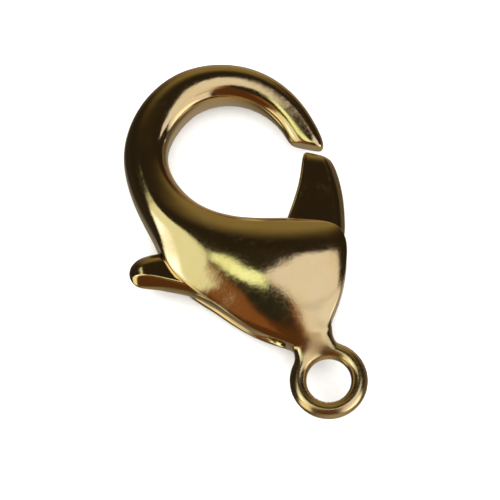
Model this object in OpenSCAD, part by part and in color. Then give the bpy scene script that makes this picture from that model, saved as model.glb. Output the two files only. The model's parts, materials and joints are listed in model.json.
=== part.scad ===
// Lobster clasp, 23 mm, lying flat on a table.
// Length runs along Y from the end ring to the hook, the gate is on the +X
// side, the trigger on the -X side, and Z = 0 is the table.

/* [Overall] */
// Length from the end ring to the top of the hook
clasp_l = 23; // [20:0.5:27]
// Width over the hook and the closed gate, without the trigger
hook_w = 11.9; // [10.7:0.2:13.1]
// Thickness of the casting where its cheeks are fullest
body_t = 4.6; // [4.2:0.1:5.4]

/* [End ring] */
// Outside diameter of the end ring
ring_od = 4.6; // [4.2:0.1:5.2]
// Diameter of the hole that takes the jump ring
ring_hole = 2.75; // [2.2:0.05:3]
// Thickness of the end ring
ring_t = 1.6; // [1.2:0.1:2.2]
// Straight stretch in the middle of the hole
hole_land = 0.4; // [0.3:0.05:0.8]

/* [Slot] */
// Width of the slot between the two cheeks
slot_w = 1.6; // [1.2:0.05:2]
// Height of the cheeks' lips beside the slot
lip_h = 0.35; // [0.25:0.05:0.5]
// Gap from the trigger's top edge to the closed end of the slot
slot_end_gap = 0.2; // [0.1:0.05:0.4]

/* [Lever] */
// Gap on each side of the lever in the slot
lever_gap = 0.05; // [0.03:0.01:0.12]
// How far the trigger stands out past the hook's side
trigger_reach = 1.85; // [1.4:0.05:2.4]
// Radius of the trigger's round tip
trigger_r = 0.78; // [0.65:0.01:0.85]
// Gap between the closed gate and the nose of the hook
nose_gap = 0.35; // [0.2:0.05:0.6]
// Radius of the gate's inner corner at the nose
gate_in_r = 0.2; // [0.1:0.05:0.3]
// Radius of the gate's outer corner at the nose
gate_out_r = 0.45; // [0.3:0.05:0.6]
// Metal round the lever's pin hole
hub_wall = 0.7; // [0.5:0.05:0.9]

/* [Pivot pin] */
// Diameter of the pin
pin_d = 1; // [0.8:0.05:1.2]
// Running gap round the pin in the lever
pin_gap = 0.03; // [0.02:0.01:0.06]
// Depth of the pin's blind seat in each cheek
pin_seat = 0.6; // [0.4:0.05:0.8]

/* [Return spring] */
// Thickness of the spring strip
spring_t = 0.16; // [0.1:0.02:0.2]
// Gap between the spring and the slot's two sides
spring_side_gap = 0.2; // [0.1:0.05:0.3]
// Gap between the spring and what it lies against
spring_gap = 0.04; // [0.02:0.01:0.1]
// How far along the trigger's arm the spring bears, as a share of the arm
spring_reach = 0.22; // [0.16:0.02:0.3]

/* [Hidden] */

steps = 2;        // loft ribs for each row of the table
side_points = 12; // facets across each face of a rib
round_fn = 96;

// The end ring's centre is the outline's own zero. The reach is the height of
// the hook's top above it.
reach = clasp_l - ring_od/2;
half_t = body_t/2;

// Sections of the casting, from the end ring round the hook to the nose. Each
// runs from a point on the outside to a point on the inside of the outline.
// The x columns are shares of hook_w, the y columns of reach, and thick is a
// share of half the body's thickness. lip is 0 where the section is a plain
// tube and 1 where the slot opens it into two lips.
//          out_x   out_y   in_x    in_y   thick  lip
casting = [[-0.097, 0.095,  0.106, 0.095, 0.33, 0.0],
           [-0.104, 0.124,  0.119, 0.126, 0.37, 0.0],
           [-0.137, 0.152,  0.136, 0.158, 0.48, 0.3],
           [-0.228, 0.205,  0.196, 0.193, 0.64, 0.8],
           [-0.308, 0.271,  0.269, 0.244, 0.79, 1.0],
           [-0.370, 0.333,  0.332, 0.302, 0.90, 1.0],
           [-0.416, 0.372,  0.360, 0.349, 0.96, 1.0],
           [-0.440, 0.398,  0.352, 0.390, 0.98, 1.0],
           [-0.456, 0.416,  0.302, 0.420, 0.99, 1.0],
           [-0.477, 0.445,  0.224, 0.445, 1.00, 1.0],
           [-0.493, 0.476,  0.114, 0.479, 0.99, 1.0],
           [-0.502, 0.519, -0.008, 0.510, 0.97, 1.0],
           [-0.506, 0.574, -0.122, 0.552, 0.92, 0.6],
           [-0.514, 0.627, -0.212, 0.600, 0.86, 0.2],
           [-0.518, 0.690, -0.275, 0.668, 0.81, 0.0],
           [-0.508, 0.763, -0.290, 0.744, 0.77, 0.0],
           [-0.472, 0.842, -0.255, 0.805, 0.74, 0.0],
           [-0.380, 0.915, -0.174, 0.848, 0.73, 0.0],
           [-0.245, 0.971, -0.085, 0.874, 0.72, 0.0],
           [-0.066, 1.000, -0.007, 0.882, 0.70, 0.0],
           [ 0.124, 0.984,  0.084, 0.876, 0.69, 0.0],
           [ 0.287, 0.933,  0.186, 0.846, 0.67, 0.0],
           [ 0.400, 0.858,  0.266, 0.795, 0.63, 0.0],
           [ 0.459, 0.774,  0.307, 0.739, 0.57, 0.0],
           [ 0.477, 0.696,  0.316, 0.705, 0.51, 0.0],
           [ 0.474, 0.643,  0.324, 0.687, 0.45, 0.0],
           [ 0.448, 0.628,  0.331, 0.681, 0.40, 0.0]];
out_x = 0;
out_y = 1;
in_x = 2;
in_y = 3;
thick = 4;
lip = 5;
tube_flat = 0.13; // half height of a tube's flat side, as a share of its own
lip_swell = 1.3;  // how much softer the dome meets a lip than a tube its side
nose = casting[len(casting) - 1];
hook_side = min([for (row = casting) row[out_x]])*hook_w;
gate_side = max([for (row = casting) row[out_x]])*hook_w;

// Hand-picked places of the lever and the slot, in the same shares of hook_w
// and reach: x then y
pivot_at = [-0.024, 0.253];
gate_back = [[0.467, 0.555], [0.446, 0.486], [0.409, 0.426], [0.360, 0.362], [0.220, 0.280]];
gate_front = [[-0.500, 0.533], [-0.350, 0.493], [-0.170, 0.433], [-0.017, 0.418], [0.102, 0.447],
              [0.185, 0.492], [0.278, 0.551], [0.332, 0.604]];
gate_from = 0.58; // where the gate's end starts along the nose's end face
gate_to = 1.2;   // and where it stops, as shares of that face
trigger_y = 0.501;
trigger_root = [-0.457, 0.397];
slot_floor = 0.153;
slot_wall = [[0.059, 0.153], [0.254, 0.277]];
slot_mouth_top = 0.584;

hub_from = -40;   // the hub's round edge, from its gate side
hub_to = -140;    // to its trigger side
trigger_top = 92; // where the tip's round edge meets the trigger's top edge

lever_t = slot_w - 2*lever_gap;
hub_r = pin_d/2 + pin_gap + hub_wall;

// A place on the outline from its shares
function at(share) = [share[0]*hook_w, share[1]*reach];

pivot = at(pivot_at);
floor_y = slot_floor*reach;
trigger_tip = [hook_side - trigger_reach + trigger_r, trigger_y*reach];
slot_end_y = trigger_tip[1] + trigger_r + slot_end_gap;

// Middle of the clasp, trigger included, over the table's zero
mid_x = (hook_side - trigger_reach + gate_side)/2;
mid_y = (reach - ring_od/2)/2;

// Smooth curve through rows a, b, c and d, for t from 0 at b to 1 at c
function blend(a, b, c, d, t) =
    (2*b + (c - a)*t + (2*a - 5*b + 4*c - d)*t*t + (3*b - a - 3*c + d)*t*t*t)/2;

// All the rows of a table with smooth ones put between them
function smooth(rows, n) = [
    for (i = [0 : len(rows) - 2], j = [0 : n - 1])
        blend(rows[max(i - 1, 0)], rows[i], rows[i + 1], rows[min(i + 2, len(rows) - 1)], j/n),
    rows[len(rows) - 1]];

function arc(centre, r, from, to, n = 10) = [
    for (i = [0 : n]) let (a = from + (to - from)*i/n) centre + r*[cos(a), sin(a)]];

// One section of the casting as a closed loop of points. The first half is its
// upper face from the inside to the outside, the second its lower face back.
function rib(row) = let (
    outside = at([row[out_x], row[out_y]]),
    inside = at([row[in_x], row[in_y]]),
    middle = (outside + inside)/2,
    arm = (inside - outside)/2,
    top = row[thick]*half_t,
    share = max(row[lip], 0),
    side = share*(slot_w/2 + lip_h) + (1 - share)*tube_flat*top,
    swell = 1 + share*(lip_swell - 1))
    [for (face = [1, -1], i = [0 : side_points])
        let (a = face > 0 ? 180*i/side_points : 180*(1 - i/side_points),
             p = middle + arm*cos(a))
        [p[0], p[1], face*(side + (top - side)*pow(abs(sin(a)), swell))]];

// Closed skin over a row of ribs with a flat cap at both ends
module loft(ribs) {
    n = len(ribs[0]);
    last = len(ribs) - 1;
    polyhedron(
        points = [for (r = ribs) each r],
        faces = [
            [for (i = [n - 1 : -1 : 0]) i],
            [for (i = [0 : n - 1]) last*n + i],
            for (k = [0 : last - 1], i = [0 : n - 1]) let (j = (i + 1)%n)
                each [[k*n + i, k*n + j, (k + 1)*n + j], [k*n + i, (k + 1)*n + j, (k + 1)*n + i]]],
        convexity = 8);
}

// End ring: a rounded section with a short straight land in its hole
module end_ring() {
    r_in = ring_hole/2;
    r_out = ring_od/2;
    r_mid = (r_in + r_out)/2;
    land = hole_land/2;
    side = (ring_t - hole_land)/2;
    step = 180/side_points;
    upper = [for (a = [180 : -step : 0]) [r_mid + (r_out - r_mid)*cos(a), land + side*sin(a)]];
    lower = [for (a = [0 : step : 180]) [r_mid + (r_out - r_mid)*cos(a), -land - side*sin(a)]];
    rotate_extrude($fn = round_fn) polygon(concat(upper, lower));
}

// Room for the lever between the cheeks: open at the back, under the trigger
// and along the gate, closed at the neck and at the root of the hook
module slot() {
    far = hook_w;
    linear_extrude(slot_w, center = true)
        polygon([[-far, floor_y], at(slot_wall[0]), at(slot_wall[1]),
                 [far, slot_wall[1][1]*reach], [far, slot_mouth_top*reach],
                 [slot_wall[0][0]*hook_w, slot_mouth_top*reach],
                 [-slot_wall[0][0]*hook_w, slot_end_y], [-far, slot_end_y]]);
}

module in_place() {
    translate([-mid_x, -mid_y, half_t]) children();
}

module clasp_body() {
    color([0.83, 0.67, 0.33])
    in_place() difference() {
        union() {
            end_ring();
            loft([for (row = smooth(casting, steps)) rib(row)]);
        }
        slot();
        translate(pivot)
            cylinder(d = pin_d, h = slot_w + 2*pin_seat, center = true, $fn = round_fn);
    }
}

// Gate, hub and trigger in one flat plate
module lever() {
    nose_in = at([nose[in_x], nose[in_y]]);
    face = at([nose[out_x], nose[out_y]]) - nose_in;
    away = [face[1], -face[0]]/norm(face);
    end_a = atan2(-away[1], -away[0]);
    end_in = nose_in + face*gate_from + away*(nose_gap + gate_in_r);
    end_out = nose_in + face*gate_to + away*(nose_gap + gate_out_r);
    front_last = at(gate_front[len(gate_front) - 1]);
    front_a = atan2(end_in[1] - front_last[1], end_in[0] - front_last[0]) + 90;
    under = trigger_tip - at(trigger_root);
    under_a = atan2(under[1], under[0]);
    outline = concat(
        arc(end_in, gate_in_r, front_a, end_a),
        arc(end_out, gate_out_r, end_a, 0),
        smooth([for (p = gate_back) at(p)], 3),
        arc(pivot, hub_r, hub_from, hub_to),
        [at(trigger_root)],
        arc(trigger_tip, trigger_r, under_a + 90, trigger_top),
        smooth([for (p = gate_front) at(p)], 3));
    color([0.62, 0.47, 0.2])
    in_place() difference() {
        linear_extrude(lever_t, center = true) polygon(outline);
        translate(pivot)
            cylinder(r = pin_d/2 + pin_gap, h = slot_w, center = true, $fn = round_fn);
    }
}

module pivot_pin() {
    color([0.75, 0.75, 0.77])
    in_place() translate(pivot)
        cylinder(d = pin_d, h = slot_w + 2*pin_seat, center = true, $fn = round_fn);
}

// Strip of a given thickness along a path
function strip(path, t) = let (
    last = len(path) - 1,
    sides = [for (i = [0 : last])
        let (d = path[min(i + 1, last)] - path[max(i - 1, 0)]) [-d[1], d[0]]/norm(d)*t/2])
    concat([for (i = [0 : last]) path[i] + sides[i]],
           [for (i = [last : -1 : 0]) path[i] - sides[i]]);

// Hairpin strip: one leg lies on the slot's floor, the other passes under the
// hub and bears on the underside of the trigger's arm
module return_spring() {
    seat = spring_gap + spring_t/2;
    low_y = floor_y + seat;
    bend_r = (pivot[1] - hub_r - floor_y)/2 - seat;
    bend = [pivot[0] + hub_r/2, low_y + bend_r];
    high_y = low_y + 2*bend_r;
    hub_edge = pivot + hub_r*[cos(hub_to), sin(hub_to)];
    arm = at(trigger_root) - hub_edge;
    off_arm = [-arm[1], arm[0]]/norm(arm)*seat;
    path = concat([[pivot[0] - hub_r/2, low_y]],
                  arc(bend, bend_r, -90, 90),
                  smooth([[pivot[0] - hub_r/4, high_y],
                          [pivot[0] - hub_r, high_y + bend_r/4],
                          hub_edge + arm*spring_reach + off_arm], 4));
    color([0.6, 0.6, 0.62])
    in_place()
        linear_extrude(slot_w - 2*spring_side_gap, center = true) polygon(strip(path, spring_t));
}

clasp_body();
lever();
pivot_pin();
return_spring();
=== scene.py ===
import json
from math import atan2, cos, pi, radians, sin

import bmesh
import bpy
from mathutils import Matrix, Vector


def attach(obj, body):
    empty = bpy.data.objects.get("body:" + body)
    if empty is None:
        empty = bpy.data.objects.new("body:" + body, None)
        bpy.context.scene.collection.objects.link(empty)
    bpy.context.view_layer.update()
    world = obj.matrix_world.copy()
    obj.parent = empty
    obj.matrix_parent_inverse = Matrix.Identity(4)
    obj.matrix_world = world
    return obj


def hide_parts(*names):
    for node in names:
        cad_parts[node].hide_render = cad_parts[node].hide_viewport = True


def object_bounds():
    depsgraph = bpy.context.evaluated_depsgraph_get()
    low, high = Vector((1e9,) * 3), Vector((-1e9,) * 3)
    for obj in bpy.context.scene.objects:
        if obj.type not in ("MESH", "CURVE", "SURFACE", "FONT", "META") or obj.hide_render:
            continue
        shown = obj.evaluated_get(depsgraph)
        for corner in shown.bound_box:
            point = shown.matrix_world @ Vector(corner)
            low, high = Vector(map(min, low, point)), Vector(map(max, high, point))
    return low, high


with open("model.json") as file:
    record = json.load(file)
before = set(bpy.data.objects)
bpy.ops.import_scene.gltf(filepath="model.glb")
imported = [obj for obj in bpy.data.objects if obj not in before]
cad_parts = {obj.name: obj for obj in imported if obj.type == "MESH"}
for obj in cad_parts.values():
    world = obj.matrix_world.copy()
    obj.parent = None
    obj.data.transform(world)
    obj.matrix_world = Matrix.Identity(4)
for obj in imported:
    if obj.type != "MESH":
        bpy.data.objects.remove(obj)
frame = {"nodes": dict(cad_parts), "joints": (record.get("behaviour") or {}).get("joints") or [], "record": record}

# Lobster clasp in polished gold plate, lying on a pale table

mm = 0.001
cadLow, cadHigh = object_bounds()
print("frame loaded")

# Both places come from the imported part: the end ring's hole and the lever's pin
ringCentre = Vector(frame["record"]["mounts"][0]["pos_m"])
pinCentre = Vector(frame["joints"][0]["pos_m"])
hookWidth = 11.9*mm                 # across the hook
reach = cadHigh.y - ringCentre.y    # from the end ring's middle to the top of the hook
halfBody = (cadHigh.z - cadLow.z)/2

slotHalf = 0.8*mm      # half the slot between the two cheeks
leverHalf = 0.75*mm    # half the lever's thickness
smoothLevels = 3       # subdivision of the casting and the lever
crispAngle = 40        # edges that turn by more degrees than this stay crisp


# Helpers for working in edit mode

def newPiece(name):
    bpy.ops.object.select_all(action="DESELECT")
    bpy.ops.object.add(type="MESH", enter_editmode=True, location=(0, 0, 0))
    piece = bpy.context.object
    piece.name = piece.data.name = name
    bpy.ops.mesh.select_mode(type="VERT")
    return piece


def pickPoints(piece, wanted, last):
    # selects the points whose place is wanted, among the last few drawn
    bpy.ops.mesh.select_all(action="DESELECT")
    cage = bmesh.from_edit_mesh(piece.data)
    cage.verts.ensure_lookup_table()
    for point in cage.verts[-last:]:
        point.select = wanted(point.co)
    cage.select_flush(True)
    bmesh.update_edit_mesh(piece.data)


def pickNumbers(piece, first, end=None):
    # selects the points from one number up to another, or to the last one drawn
    bpy.ops.mesh.select_all(action="DESELECT")
    cage = bmesh.from_edit_mesh(piece.data)
    cage.verts.ensure_lookup_table()
    for point in cage.verts[first:end]:
        point.select = True
    cage.select_flush(True)
    bmesh.update_edit_mesh(piece.data)


def pickFaces(piece, wanted):
    bpy.ops.mesh.select_all(action="DESELECT")
    cage = bmesh.from_edit_mesh(piece.data)
    for face in cage.faces:
        if wanted(face):
            face.select = True
    bmesh.update_edit_mesh(piece.data)


def shapeSection(piece, corners, halfWidth, halfHeight, steps):
    # a circle drawn as wide and high as the section, then squared: each row of steps is
    # a side, the angle of the circle's point there, and where that point goes instead
    near = 0.02*mm    # points this close together count as the same one
    bpy.ops.mesh.primitive_circle_add(vertices=corners, radius=1, rotation=(pi/2, 0, 0))
    bpy.ops.transform.resize(value=(halfWidth, 1, halfHeight), center_override=(0, 0, 0))
    for side, angle, x, z in steps:
        oldX = halfWidth*cos(angle)
        oldZ = halfHeight*sin(angle)

        def here(spot):
            return abs(spot.x - side*oldX) < near and abs(abs(spot.z) - oldZ) < near

        pickPoints(piece, here, corners)
        bpy.ops.transform.resize(value=(x/oldX, 1, z/oldZ), center_override=(0, 0, 0))


def placeSection(piece, corners, start, end):
    # turns the section's +X side towards end and sets it midway between start and end
    pickNumbers(piece, -corners)
    turn = atan2(end.y - start.y, end.x - start.x)
    bpy.ops.transform.rotate(value=-turn, orient_axis="Z", center_override=(0, 0, 0))
    middle = (start + end)/2
    bpy.ops.transform.translate(value=(middle.x, middle.y, middle.z))


def bridgeSections(piece, corners, count):
    for number in range(count - 1):
        pickNumbers(piece, number*corners, (number + 2)*corners)
        bpy.ops.mesh.bridge_edge_loops()


def addModifier(piece, kind, **settings):
    bpy.ops.object.select_all(action="DESELECT")
    piece.select_set(True)
    bpy.context.view_layer.objects.active = piece
    modifier = piece.modifiers.new(kind.title(), kind)
    for name, value in settings.items():
        setattr(modifier, name, value)
    bpy.ops.object.modifier_apply(modifier=modifier.name)


def cutAway(piece, cutter):
    addModifier(piece, "BOOLEAN", operation="DIFFERENCE", object=cutter, solver="EXACT")
    bpy.data.objects.remove(cutter)


def place(share):
    # a point of the outline from its shares of hookWidth and reach
    return ringCentre + Vector((share[0]*hookWidth, share[1]*reach, 0))


def standOut(values):
    # subdivision pulls every bend in by a sixth, so each value is set that much further out
    inner = [here + (2*here - before - after)/6
             for before, here, after in zip(values, values[1:], values[2:])]
    return [values[0], *inner, values[-1]]


# The casting: end ring, two domed cheeks with a slot between them, and the hook

casting = {
    "corners": 24,         # points round a section
    "lipShare": 0.40,      # how far up from the slot to the dome's top the lip's ridge is
    "lipCrease": 0.45,     # sharpness of that ridge
    "ridgePoints": (4, 8, 16, 20),    # the points of a section that lie on it
    "domeSwell": 1.5,      # above 1 draws the dome up to a narrower top
    "domeAngles": (12, 36, 63),       # of its points above the ridge, in degrees
    "tubeSquare": 0.62,    # below 1 flattens the top of the hook and rounds its shoulders
    "roundSwell": 1.012,   # makes up for what subdivision takes off a 24-sided round
    "noseRims": (0.12*mm, 0.25*mm),   # two insets that keep the nose's end flat
    "slotDepth": 0.35*mm,  # how far the slot's rounded mouth is pressed in
    "cutHalf": 0.78*mm,    # half the slot as it is cut
    "ringHole": 1.31*mm,   # the end ring's radii, then half its thickness
    "ringOuter": 2.36*mm,
    "ringHalf": 0.66*mm,
    "ringSides": (32, 12),    # round the hole and round the wire
    "neckAngle": 28,       # degrees to each side over which the neck grows out of the ring
    "neckFrom": 0.4,       # and where on the ring it starts, as a share of the wire's half
    # each section from the outside to the inside of the outline, in shares of hookWidth
    # and reach, its thickness as a share of the body's, how far it is a lip, and how far its
    # top leans outwards
    #    outX    outY     inX    inY  thick   lip   lean
    "sections": [
        (-0.097,  0.119,  0.112,  0.120, 0.404, 0.00,  0.00),
        (-0.108,  0.130,  0.123,  0.134, 0.448, 0.20,  0.00),
        (-0.137,  0.152,  0.136,  0.158, 0.517, 0.80,  0.00),
        (-0.217,  0.198,  0.195,  0.192, 0.632, 0.92,  0.00),
        (-0.279,  0.246,  0.248,  0.229, 0.742, 1.00,  0.00),
        (-0.329,  0.292,  0.294,  0.267, 0.830, 1.00,  0.00),
        (-0.368,  0.331,  0.331,  0.305, 0.894, 1.00,  0.00),
        (-0.408,  0.366,  0.358,  0.346, 0.942, 1.00,  0.00),
        (-0.441,  0.399,  0.352,  0.391, 0.975, 1.00,  0.00),
        (-0.468,  0.432,  0.291,  0.424, 0.993, 1.00,  0.00),
        (-0.487,  0.464,  0.209,  0.450, 1.000, 1.00,  0.00),
        (-0.499,  0.500,  0.121,  0.477, 0.995, 1.00,  0.00),
        (-0.504,  0.538,  0.021,  0.503, 0.979, 0.90,  0.00),
        (-0.507,  0.577, -0.077,  0.534, 0.953, 0.60,  0.00),
        (-0.512,  0.616, -0.166,  0.575, 0.918, 0.28,  0.00),
        (-0.517,  0.660, -0.234,  0.622, 0.880, 0.08,  0.00),
        (-0.517,  0.709, -0.277,  0.680, 0.844, 0.00, -0.02),
        (-0.508,  0.763, -0.290,  0.744, 0.814, 0.00, -0.04),
        (-0.472,  0.842, -0.255,  0.805, 0.792, 0.00, -0.04),
        (-0.380,  0.915, -0.174,  0.848, 0.776, 0.00,  0.00),
        (-0.245,  0.971, -0.085,  0.874, 0.758, 0.00,  0.05),
        (-0.066,  1.000, -0.007,  0.882, 0.728, 0.00,  0.09),
        ( 0.124,  0.984,  0.084,  0.876, 0.680, 0.00,  0.10),
        ( 0.287,  0.933,  0.186,  0.846, 0.608, 0.00,  0.10),
        ( 0.400,  0.858,  0.266,  0.795, 0.520, 0.00,  0.09),
        ( 0.459,  0.774,  0.307,  0.739, 0.434, 0.00,  0.07),
        ( 0.477,  0.696,  0.316,  0.705, 0.372, 0.00,  0.06),
        ( 0.474,  0.648,  0.322,  0.690, 0.336, 0.00,  0.06),
        ( 0.456,  0.631,  0.329,  0.682, 0.316, 0.00,  0.06),
    ],
    # the slot's mouth runs up to section mouthTo, along the back from mouthFrom on and on
    # the gate's side from gateFrom on, round the point in the middle of that side
    "mouthFrom": 2, "backPoint": 6,
    "gateFrom": 5, "gatePoint": 18,
    "mouthTo": 12,
    # the slot's outline in the same shares, with a hollow near the ring where the lever's
    # heel swings
    "slot": [(-1, 0.172), (-0.148, 0.172), (-0.135, 0.164), (-0.122, 0.158), (-0.105, 0.155),
             (-0.050, 0.155), (-0.030, 0.172), (0.059, 0.172), (0.254, 0.280), (1, 0.280),
             (1, 0.540), (0.059, 0.540), (-0.059, 0.540), (-1, 0.545)],
}


def lipSteps(halfWidth, halfHeight, lip, lean):
    # moves the circle's five points beside each flank from a tube's to a lipped cheek's
    ridge = slotHalf + casting["lipShare"]*(halfHeight - slotHalf)
    lipPoints = [(1, slotHalf), (1, ridge)]
    for degrees in casting["domeAngles"]:
        dome = radians(degrees)
        height = (halfHeight - ridge)*sin(dome)**casting["domeSwell"]
        lipPoints.append((cos(dome), ridge + height))
    steps = []
    for number, (lipX, lipZ) in enumerate(lipPoints, 1):
        angle = 2*pi*number/casting["corners"]
        x = halfWidth*(lip*lipX + (1 - lip)*cos(angle)**casting["tubeSquare"])
        z = lip*lipZ + (1 - lip)*halfHeight*sin(angle)**casting["tubeSquare"]
        if number == 1 and lip > 0.5:
            z = slotHalf    # a lip starts at the slot's own wall
        steps += [(side, angle, x, z*(1 - side*lean*x/halfWidth)) for side in (1, -1)]
    return steps


def makeCasting():
    corners = casting["corners"]
    sections = casting["sections"]
    piece = newPiece("castingSkin")
    outsides = standOut([place(row[0:2]) for row in sections])
    insides = standOut([place(row[2:4]) for row in sections])
    for outside, inside, row in zip(outsides, insides, sections):
        thick, lip, lean = row[4:7]
        halfWidth = (inside - outside).length/2*casting["roundSwell"]
        halfHeight = thick*halfBody
        steps = lipSteps(halfWidth, halfHeight, lip, lean)
        shapeSection(piece, corners, halfWidth, halfHeight, steps)
        placeSection(piece, corners, outside, inside)
    bridgeSections(piece, corners, len(sections))

    # the nose's end
    pickNumbers(piece, -corners)
    bpy.ops.mesh.edge_face_add()
    for rim in casting["noseRims"]:
        bpy.ops.mesh.inset(thickness=rim)

    # the ridge between each cheek's lip and its dome is kept crisp
    cage = bmesh.from_edit_mesh(piece.data)
    cage.verts.index_update()
    bpy.ops.mesh.select_all(action="DESELECT")
    bpy.ops.mesh.select_mode(type="EDGE")
    for edge in cage.edges:
        rows = [point.index//corners for point in edge.verts]
        numbers = [point.index % corners for point in edge.verts]
        onRidge = numbers[0] == numbers[1] and numbers[0] in casting["ridgePoints"]
        lipped = min(rows) >= casting["mouthFrom"] and max(rows) <= casting["mouthTo"] + 1
        edge.select = onRidge and lipped
    bmesh.update_edit_mesh(piece.data)
    bpy.ops.transform.edge_crease(value=casting["lipCrease"])
    bpy.ops.mesh.select_mode(type="VERT")

    # the slot's mouth: the bands of faces between the lips are pressed in
    mouths = ((casting["mouthFrom"], casting["backPoint"]), (casting["gateFrom"], casting["gatePoint"]))

    def inMouth(face):
        numbers = [point.index for point in face.verts]
        rows = [number//corners for number in numbers]
        for first, middle in mouths:
            if min(rows) >= first and max(rows) <= casting["mouthTo"]:
                if all(abs(number % corners - middle) <= 1 for number in numbers):
                    return True
        return False

    bmesh.from_edit_mesh(piece.data).verts.index_update()
    pickFaces(piece, inMouth)
    depth = {"value": -casting["slotDepth"]}
    bpy.ops.mesh.extrude_region_shrink_fatten(TRANSFORM_OT_shrink_fatten=depth)

    addEndRing(piece)
    bpy.ops.mesh.select_all(action="SELECT")
    bpy.ops.mesh.normals_make_consistent(inside=False)
    bpy.ops.object.mode_set(mode="OBJECT")
    addModifier(piece, "SUBSURF", levels=smoothLevels, render_levels=smoothLevels)
    cutAway(piece, slotCutter())
    bpy.ops.object.shade_smooth_by_angle(angle=radians(crispAngle))
    return piece


def addEndRing(piece):
    inner, outer = casting["ringHole"], casting["ringOuter"]
    around, across = casting["ringSides"]
    wire = (outer - inner)/2
    middle = (outer + inner)/2
    bpy.ops.mesh.select_all(action="DESELECT")
    bpy.ops.mesh.primitive_torus_add(major_segments=around, minor_segments=across, major_radius=middle,
                                     minor_radius=wire, location=ringCentre)
    bpy.ops.transform.resize(value=(1, 1, casting["ringHalf"]/wire), center_override=ringCentre)

    # opens the ring where the neck grows out of it, and joins the two
    def underNeck(spot):
        arm = spot - ringCentre
        aside = abs(atan2(arm.x, arm.y))
        far = Vector((arm.x, arm.y)).length
        return far > middle + casting["neckFrom"]*wire and aside < radians(casting["neckAngle"])

    pickPoints(piece, underNeck, around*across)
    bpy.ops.mesh.delete(type="VERT")
    bpy.ops.mesh.select_all(action="DESELECT")
    bpy.ops.mesh.select_non_manifold()
    bpy.ops.mesh.bridge_edge_loops()


def slotCutter():
    # the slot's outline drawn point by point, filled and drawn up to its height
    half = casting["cutHalf"]
    corners = [place(share) - Vector((0, 0, half)) for share in casting["slot"]]
    cutter = newPiece("slotCutter")
    bpy.ops.mesh.primitive_plane_add(size=mm, location=corners[0])
    bpy.ops.mesh.merge(type="CENTER")
    for start, end in zip(corners, corners[1:]):
        bpy.ops.mesh.extrude_vertices_move(TRANSFORM_OT_translate={"value": end - start})
    bpy.ops.mesh.select_all(action="SELECT")
    bpy.ops.mesh.edge_face_add()
    bpy.ops.mesh.extrude_region_move(TRANSFORM_OT_translate={"value": (0, 0, 2*half)})
    bpy.ops.mesh.select_all(action="SELECT")
    bpy.ops.mesh.normals_make_consistent(inside=False)
    bpy.ops.object.mode_set(mode="OBJECT")
    return cutter


# The lever: trigger, hub and gate in one flat plate with rounded edges

lever = {
    "corners": 16,         # points round a section
    # each section from the back edge to the front edge, in shares of hookWidth and reach,
    # with its half height as a share of the plate's and the rounding of both edges in mm
    #    backX    backY   frontX   frontY  high  back  front
    "sections": [
        (-0.694, 0.507, -0.688, 0.521, 0.24, 0.15, 0.15),
        (-0.690, 0.490, -0.671, 0.534, 0.50, 0.40, 0.30),
        (-0.676, 0.476, -0.645, 0.543, 0.74, 0.62, 0.40),
        (-0.648, 0.463, -0.608, 0.548, 0.91, 0.70, 0.42),
        (-0.584, 0.442, -0.546, 0.543, 1.00, 0.56, 0.36),
        (-0.507, 0.411, -0.471, 0.530, 1.00, 0.46, 0.32),
        (-0.431, 0.378, -0.387, 0.504, 1.00, 0.42, 0.30),
        (-0.358, 0.323, -0.277, 0.470, 1.00, 0.25, 0.25),
        (-0.287, 0.258, -0.176, 0.434, 1.00, 0.25, 0.25),
        (-0.212, 0.203, -0.092, 0.418, 1.00, 0.25, 0.25),
        (-0.110, 0.180, -0.017, 0.418, 1.00, 0.25, 0.25),
        ( 0.080, 0.220,  0.046, 0.432, 1.00, 0.25, 0.25),
        ( 0.220, 0.280,  0.100, 0.455, 1.00, 0.30, 0.20),
        ( 0.357, 0.355,  0.178, 0.502, 1.00, 0.45, 0.20),
        ( 0.414, 0.421,  0.240, 0.541, 1.00, 0.50, 0.20),
        ( 0.453, 0.484,  0.287, 0.576, 1.00, 0.50, 0.20),
        ( 0.473, 0.545,  0.320, 0.606, 1.00, 0.50, 0.20),
        ( 0.474, 0.585,  0.347, 0.631, 1.00, 0.45, 0.20),
        ( 0.459, 0.602,  0.367, 0.642, 0.72, 0.25, 0.15),
    ],
    "mostRounding": 0.7,   # an edge's rounding takes no more of the section than this
    "endRim": 0.1*mm,      # an inset that keeps each end flat
    "pinHole": 0.53*mm,
    "pinSides": 64,
}


def plateSteps(halfWidth, halfHeight, back, front):
    # squares the circle's points into a flat plate's, round at both edges
    step = 2*pi/lever["corners"]
    steps = []
    for side, rounding in ((1, front*mm), (-1, back*mm)):
        edge = halfHeight - min(rounding, lever["mostRounding"]*halfHeight)
        flat = halfWidth - min(rounding, lever["mostRounding"]*halfWidth)
        steps += [(side, step, halfWidth, edge), (side, 2*step, flat, halfHeight),
                  (side, 3*step, flat/2, halfHeight)]
    return steps


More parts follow.
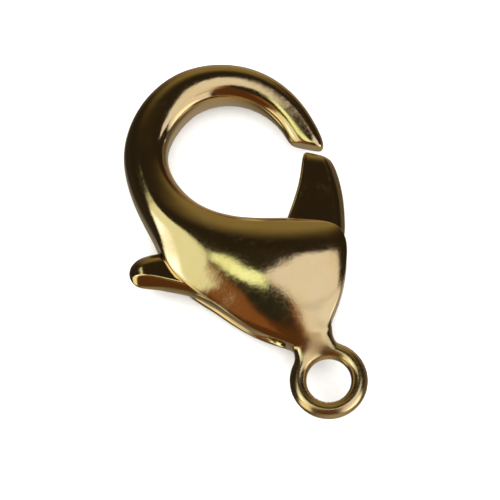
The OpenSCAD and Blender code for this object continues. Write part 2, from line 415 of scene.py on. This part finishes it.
def makeLever():
    corners = lever["corners"]
    sections = lever["sections"]
    piece = newPiece("leverPlate")
    backEdges = standOut([place(row[0:2]) for row in sections])
    frontEdges = standOut([place(row[2:4]) for row in sections])
    for backEdge, frontEdge, row in zip(backEdges, frontEdges, sections):
        high, back, front = row[4:7]
        halfWidth = (frontEdge - backEdge).length/2
        steps = plateSteps(halfWidth, high*leverHalf, back, front)
        shapeSection(piece, corners, halfWidth, high*leverHalf, steps)
        placeSection(piece, corners, backEdge, frontEdge)
    bridgeSections(piece, corners, len(sections))
    for first in (0, (len(sections) - 1)*corners):
        pickNumbers(piece, first, first + corners)
        bpy.ops.mesh.edge_face_add()
        bpy.ops.mesh.inset(thickness=lever["endRim"])
    bpy.ops.mesh.select_all(action="SELECT")
    bpy.ops.mesh.normals_make_consistent(inside=False)
    bpy.ops.object.mode_set(mode="OBJECT")
    addModifier(piece, "SUBSURF", levels=smoothLevels, render_levels=smoothLevels)
    bpy.ops.mesh.primitive_cylinder_add(vertices=lever["pinSides"], radius=lever["pinHole"],
                                        depth=4*leverHalf, location=pinCentre)
    cutAway(piece, bpy.context.object)
    bpy.ops.object.shade_smooth_by_angle(angle=radians(crispAngle))
    return piece


castingSkin = makeCasting()
print("casting made,", len(castingSkin.data.polygons), "faces")
leverPlate = makeLever()
print("lever made,", len(leverPlate.data.polygons), "faces")


# Finishes: patterns are sized in millimetres and read the pieces' own places

def addNode(tree, kind, inputs, **settings):
    # each input is a number, a colour or another node's output
    node = tree.nodes.new(kind)
    for name, value in settings.items():
        setattr(node, name, value)
    for name, value in inputs.items():
        if hasattr(value, "is_output"):
            tree.links.new(value, node.inputs[name])
        else:
            node.inputs[name].default_value = value
    return node


def newFinish(name):
    finish = bpy.data.materials.new(name)
    finish.use_nodes = True
    tree = finish.node_tree
    spot = addNode(tree, "ShaderNodeTexCoord", {}).outputs["Object"]
    return finish, tree, tree.nodes["Principled BSDF"].inputs, spot


def noise(tree, spot, size, detail=2.0, stretch=(1, 1, 1), turn=(0, 0, 0)):
    # blotches of a size in millimetres, turned and then drawn out along the axes
    turned = addNode(tree, "ShaderNodeMapping", {"Vector": spot, "Rotation": turn}).outputs["Vector"]
    scale = [1/(size*mm*share) for share in stretch]
    sized = addNode(tree, "ShaderNodeMapping", {"Vector": turned, "Scale": scale}).outputs["Vector"]
    inputs = {"Vector": sized, "Scale": 1.0, "Detail": detail}
    return addNode(tree, "ShaderNodeTexNoise", inputs).outputs["Fac"]


def spread(tree, value, low, high, toLow, toHigh):
    inputs = {"Value": value, "From Min": low, "From Max": high, "To Min": toLow, "To Max": toHigh}
    return addNode(tree, "ShaderNodeMapRange", inputs).outputs["Result"]


def combine(tree, first, second, operation="ADD"):
    return addNode(tree, "ShaderNodeMath", {0: first, 1: second}, operation=operation).outputs["Value"]


def blend(tree, share, first, second):
    # each colour is three numbers or another node's output
    first, second = (value if hasattr(value, "is_output") else (*value, 1) for value in (first, second))
    return addNode(tree, "ShaderNodeMix", {0: share, 6: first, 7: second}, data_type="RGBA").outputs[2]


def bump(tree, height, depth, under=None):
    inputs = {"Height": height, "Distance": depth*mm}
    if under:
        inputs["Normal"] = under
    return addNode(tree, "ShaderNodeBump", inputs).outputs["Normal"]


# Sizes and depths are in mm, and a range says where a pattern starts and where it is full
gold = {
    "pale": (0.950, 0.745, 0.430),
    "deep": (0.925, 0.690, 0.355),
    "worn": (0.960, 0.800, 0.560),     # edges rubbed paler
    "dull": (0.620, 0.420, 0.190),     # tarnish in the hollows
    "dullShare": 0.6,
    "patchSize": 2.6, "patchRange": (0.35, 0.65),    # pale and deep patches
    "speckSize": 0.16, "speckRange": (0.40, 0.62),   # specks that break up the worn edges
    "speckLeast": 0.3,
    "edgeRange": (0.530, 0.580),       # how far the surface is an edge or a hollow
    "hollowRange": (0.470, 0.420),
    "roughness": (0.060, 0.120), "roughRange": (0.16, 0.36),
    "wornRoughness": 0.07,             # added along the edges and in the scratches
    "ringRoughness": 0.13,             # added on the end ring, which polishing reaches less
    "ringReach": (2.3*mm, 3.2*mm),     # from its middle, where that fades out
    "relief": [(1.5, 0.010, 1.0), (0.42, 0.0026, 2.0), (0.10, 0.0007, 2.0)],    # size, depth, detail
    "scratchSets": [(0.60, (0.3, 0.2, 0.6)), (0.78, (0.1, 0.4, 2.1))],    # size and turn
    "scratchRange": (0.52, 0.62),      # scratches lie only on some of the patches
    "scratchStretch": (9, 0.7, 0.7), "scratchWidth": 0.004, "scratchDepth": 0.0004,
}


def scratches(tree, spot, size, turn):
    # thin lines where a drawn-out noise passes its middle value
    lines = noise(tree, spot, size, 0.0, gold["scratchStretch"], turn)
    away = combine(tree, combine(tree, lines, 0.5, "SUBTRACT"), 0, "ABSOLUTE")
    return spread(tree, away, 0, gold["scratchWidth"], 1, 0)


def goldPlate():
    finish, tree, inputs, spot = newFinish("goldPlate")
    patches = noise(tree, spot, gold["patchSize"], 3.0)
    specks = noise(tree, spot, gold["speckSize"], 3.0)
    point = addNode(tree, "ShaderNodeNewGeometry", {}).outputs["Pointiness"]
    broken = spread(tree, specks, *gold["speckRange"], gold["speckLeast"], 1)
    edges = combine(tree, spread(tree, point, *gold["edgeRange"], 0, 1), broken, "MULTIPLY")
    hollows = spread(tree, point, *gold["hollowRange"], 0, gold["dullShare"])
    colour = blend(tree, spread(tree, patches, *gold["patchRange"], 0, 1), gold["pale"], gold["deep"])
    colour = blend(tree, hollows, colour, gold["dull"])
    colour = blend(tree, edges, colour, gold["worn"])
    tree.links.new(colour, inputs["Base Color"])
    inputs["Metallic"].default_value = 1

    scored = 0
    for size, turn in gold["scratchSets"]:
        scored = combine(tree, scored, scratches(tree, spot, size, turn), "MAXIMUM")
    scored = combine(tree, scored, spread(tree, patches, *gold["scratchRange"], 0, 1), "MULTIPLY")
    rough = combine(tree, patches, specks, "MULTIPLY")
    rough = spread(tree, rough, *gold["roughRange"], *gold["roughness"])
    wear = combine(tree, edges, scored, "MAXIMUM")
    rough = combine(tree, rough, combine(tree, wear, gold["wornRoughness"], "MULTIPLY"))
    arm = addNode(tree, "ShaderNodeMapping", {"Vector": spot, "Location": -ringCentre}).outputs["Vector"]
    away = addNode(tree, "ShaderNodeVectorMath", {0: arm}, operation="LENGTH").outputs["Value"]
    rough = combine(tree, rough, spread(tree, away, *gold["ringReach"], gold["ringRoughness"], 0))
    tree.links.new(rough, inputs["Roughness"])

    relief = None
    for size, depth, detail in gold["relief"]:
        relief = bump(tree, noise(tree, spot, size, detail), depth, relief)
    relief = bump(tree, combine(tree, scored, -1, "MULTIPLY"), gold["scratchDepth"], relief)
    tree.links.new(relief, inputs["Normal"])
    return finish


steel = {
    "light": (0.62, 0.61, 0.59),
    "dark": (0.42, 0.41, 0.40),
    "stain": (0.30, 0.24, 0.17),
    "stainSize": 0.5, "stainRange": (0.55, 0.75), "stainShare": 0.4,
    "roughness": (0.22, 0.38), "roughRange": (0.7, 1.3),
    "grainSize": 0.03, "grainRange": (0.3, 0.7), "grainDepth": 0.0006,
    "pinGrain": (1, 1, 30),       # fine lines along the pin
    "springGrain": (8, 8, 1),     # and along the strip
}


def drawnSteel(name, grainWay):
    finish, tree, inputs, spot = newFinish(name)
    grain = noise(tree, spot, steel["grainSize"], 3.0, grainWay)
    stains = noise(tree, spot, steel["stainSize"], 3.0)
    colour = blend(tree, spread(tree, grain, *steel["grainRange"], 0, 1), steel["light"], steel["dark"])
    stained = spread(tree, stains, *steel["stainRange"], 0, steel["stainShare"])
    rough = spread(tree, combine(tree, grain, stains), *steel["roughRange"], *steel["roughness"])
    tree.links.new(blend(tree, stained, colour, steel["stain"]), inputs["Base Color"])
    tree.links.new(rough, inputs["Roughness"])
    tree.links.new(bump(tree, grain, steel["grainDepth"]), inputs["Normal"])
    inputs["Metallic"].default_value = 1
    return finish


goldFinish = goldPlate()
for piece, body, node, slot in ((castingSkin, "clasp", "clasp_body", "gold_casting"),
                                (leverPlate, "gate", "lever", "gold_lever")):
    piece.data.materials.append(goldFinish)
    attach(piece, body)
    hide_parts(node)

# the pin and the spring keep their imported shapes
for node, name, grainWay in (("pivot_pin", "pinSteel", steel["pinGrain"]),
                             ("return_spring", "springSteel", steel["springGrain"])):
    frame["nodes"][node].data.materials.clear()
    frame["nodes"][node].data.materials.append(drawnSteel(name, grainWay))
print("finishes made")


# Table, camera and light

camera = {
    "azimuth": -24,
    "elevation": 76,
    "lens": 600,
    "distance": 496*mm,
    "aim": (0.15*mm, 0, 2.3*mm),
}

azimuth, elevation = radians(camera["azimuth"]), radians(camera["elevation"])
toRight = Vector((cos(azimuth), sin(azimuth), 0))
toCamera = Vector((sin(azimuth)*cos(elevation), -cos(azimuth)*cos(elevation), sin(elevation)))
toTop = toCamera.cross(toRight)
aim = Vector(camera["aim"])
bpy.ops.object.camera_add(location=aim + toCamera*camera["distance"],
                          rotation=(-toCamera).to_track_quat("-Z", "Y").to_euler())
view = bpy.context.object
view.data.lens = camera["lens"]
view.data.clip_start = mm
bpy.context.scene.camera = view
bpy.context.scene.view_settings.view_transform = "Standard"

# the fibres and clouds are sized in mm
tableTop = {
    "size": 4,
    "light": (0.93, 0.93, 0.925),
    "dark": (0.89, 0.885, 0.875),
    "shadeRange": (0.7, 1.3),
    "fibreSize": 0.4, "fibreRange": (0.3, 0.7), "fibreDepth": 0.01,
    "cloudSize": 60,
    "roughness": (0.5, 0.7),
    "surround": 0.78,      # radius of the white surround
}

bpy.ops.mesh.primitive_plane_add(size=tableTop["size"], location=(0, 0, cadLow.z))
table = bpy.context.object
table.name = "table"
table.visible_glossy = False    # the metal mirrors the studio's floor below instead
topFinish, topTree, topInputs, topSpot = newFinish("tableTop")
fibres = noise(topTree, topSpot, tableTop["fibreSize"], 4.0)
clouds = noise(topTree, topSpot, tableTop["cloudSize"], 2.0)
shade = spread(topTree, combine(topTree, fibres, clouds), *tableTop["shadeRange"], 0, 1)
rough = spread(topTree, fibres, *tableTop["fibreRange"], *tableTop["roughness"])
topTree.links.new(blend(topTree, shade, tableTop["light"], tableTop["dark"]), topInputs["Base Color"])
topTree.links.new(rough, topInputs["Roughness"])
topTree.links.new(bump(topTree, fibres, tableTop["fibreDepth"]), topInputs["Normal"])
table.data.materials.append(topFinish)

# a plain white surround, seen only by the camera, where a low view looks past the table
bpy.ops.mesh.primitive_uv_sphere_add(segments=48, ring_count=24, radius=tableTop["surround"],
                                     location=(0, 0, 0))
surround = bpy.context.object
surround.name = "surround"
surround.visible_diffuse = False
surround.visible_glossy = False
surround.visible_transmission = False
surround.visible_volume_scatter = False
surround.visible_shadow = False
paper = bpy.data.materials.new("surroundPaper")
paper.use_nodes = True
paperTree = paper.node_tree
paperTree.nodes.remove(paperTree.nodes["Principled BSDF"])
glow = addNode(paperTree, "ShaderNodeEmission", {"Color": (1, 1, 1, 1), "Strength": 1.0})
paperTree.links.new(glow.outputs["Emission"], paperTree.nodes["Material Output"].inputs["Surface"])
surround.data.materials.append(paper)

lamp = {"location": (0, 0.1, 0.6), "size": 1.2, "energy": 14}

bpy.ops.object.light_add(type="AREA", location=lamp["location"])
softLight = bpy.context.object
softLight.name = "softLight"
softLight.data.shape = "DISK"
softLight.data.size = lamp["size"]
softLight.data.energy = lamp["energy"]
softLight.visible_camera = False
softLight.visible_glossy = False
print("table, camera and light made")

# What the polished metal mirrors: a dim warm room with soft boxes round the clasp. Corners
# are in degrees to the right of the camera and above it, seen from the clasp, and each
# panel covers those before it. The fades run between two values of how far to the right,
# up or down one looks, from -1 to 1, and floorDims also gives the floor's strength at both
studio = {
    "room": (0.020, 0.015, 0.009),
    "farWall": (0.215, 0.170, 0.070), "wallFade": (0.50, 0.95),
    "wallEnd": (0.060, 0.026, 0.014), "endFade": (0.35, 0.65),
    "wallStart": (0.030, 0.020, 0.009), "startFade": (-0.72, -0.10),
    "floor": (0.30, 0.26, 0.20), "floorFade": (-0.14, 0.14),
    "floorDims": [(-0.75, 0.15, 0.08, 1), (0.35, 0.85, 1, 0.3)],
    "panels": [
        # corners of a panel without inward corners, softness of its edge in degrees, colour
        ([(-26, -4), (-14, 4), (16, -2), (24, -16), (22, -66), (-45, -66), (-32, -20)],
         3, (0.085, 0.035, 0.012)),
        ([(-17, 3), (-11, 4), (-9, -2), (-6, -12), (-5, -20), (-26, -24)], 2.5, (0.20, 0.080, 0.027)),
        ([(9, 2), (15, 2), (20, -14), (12, -12)], 2, (0.22, 0.10, 0.04)),
        ([(-10, 2.5), (-2, 4), (8, 1.5), (9, -5), (0, -10), (-8, -8)], 2.5, (0.018, 0.018, 0.012)),
        ([(-13, 7), (-12.5, 11), (-16, 18), (-21, 26), (-48, 8), (-60, -6), (-61, -20), (-28, -21),
          (-17, -7), (-14, 1)], 2, (0.80, 0.88, 0.68)),
        ([(-34, 2), (-51, -1), (-63, -13), (-62, -20), (-36, -17)], 4, (1.5, 1.6, 1.9)),
        ([(-30, -20), (-62, -22), (-95, -70), (-50, -80)], 5, (0.95, 0.90, 0.62)),
        ([(13, 1), (50, 3), (82, -12), (92, -45), (55, -70), (30, -62)], 2.5, (0.78, 0.77, 0.78)),
        ([(16, -6), (27, -7), (30, -14), (19, -15)], 3, (0.50, 0.43, 0.34)),
        ([(0.5, 8.5), (2, 11), (12.5, 21), (20, 23), (30, 23), (40, 20.5), (45, 10.5), (49, 2), (13, 1)],
         1.5, (0.76, 0.75, 0.76)),
        ([(60, -12), (84, -22), (84, -55), (56, -72), (40, -70), (48, -40)], 5, (1.3, 1.3, 1.2)),
        ([(-11.5, 7), (-10.5, 11.5), (-5, 11), (-1, 10.5), (1.5, 8), (0, 5), (-5, 4), (-10, 5)],
         1.5, (1.0, 1.2, 0.80)),
    ],
}

world = bpy.data.worlds.new("studio")
world.use_nodes = True
bpy.context.scene.world = world
worldTree = world.node_tree
lookUp = worldTree.nodes.new("ShaderNodeTexCoord").outputs["Generated"]


def along(direction):
    # how far the way looked in leans towards this one
    inputs = {0: lookUp, 1: direction}
    return addNode(worldTree, "ShaderNodeVectorMath", inputs, operation="DOT_PRODUCT").outputs["Value"]


def fade(value, low, high, toLow=0, toHigh=1):
    inputs = {"Value": value, "From Min": low, "From Max": high, "To Min": toLow, "To Max": toHigh}
    ramp = addNode(worldTree, "ShaderNodeMapRange", inputs, interpolation_type="SMOOTHSTEP")
    return ramp.outputs["Result"]


def seenFrom(rightwards, upwards):
    tilt = radians((rightwards**2 + upwards**2)**0.5)
    way = (toRight*rightwards + toTop*upwards).normalized()
    return toCamera*cos(tilt) + way*sin(tilt)


wall = blend(worldTree, fade(along(toRight), *studio["endFade"]), studio["farWall"], studio["wallEnd"])
wall = blend(worldTree, fade(along(toRight), *studio["startFade"]), studio["wallStart"], wall)
colour = blend(worldTree, fade(along(toTop), *studio["wallFade"]), studio["room"], wall)
floor = studio["floor"]
for dim in studio["floorDims"]:
    inputs = {0: floor, "Scale": fade(along(toRight), *dim)}
    floor = addNode(worldTree, "ShaderNodeVectorMath", inputs, operation="SCALE").outputs["Vector"]
colour = blend(worldTree, fade(along(Vector((0, 0, -1))), *studio["floorFade"]), colour, floor)

# inside a panel is the least of how far the way looked in is past each of its edges
for corners, softness, light in studio["panels"]:
    ways = [seenFrom(*corner) for corner in corners]
    middle = sum(ways, Vector())
    inside = None
    for first, second in zip(ways, ways[1:] + ways[:1]):
        edge = first.cross(second).normalized()
        if edge.dot(middle) < 0:
            edge = -edge
        inside = combine(worldTree, inside, along(edge), "MINIMUM") if inside else along(edge)
    soft = sin(radians(softness))
    colour = blend(worldTree, fade(inside, -soft, soft), colour, light)
worldTree.links.new(colour, worldTree.nodes["Background"].inputs["Color"])
print("studio made")
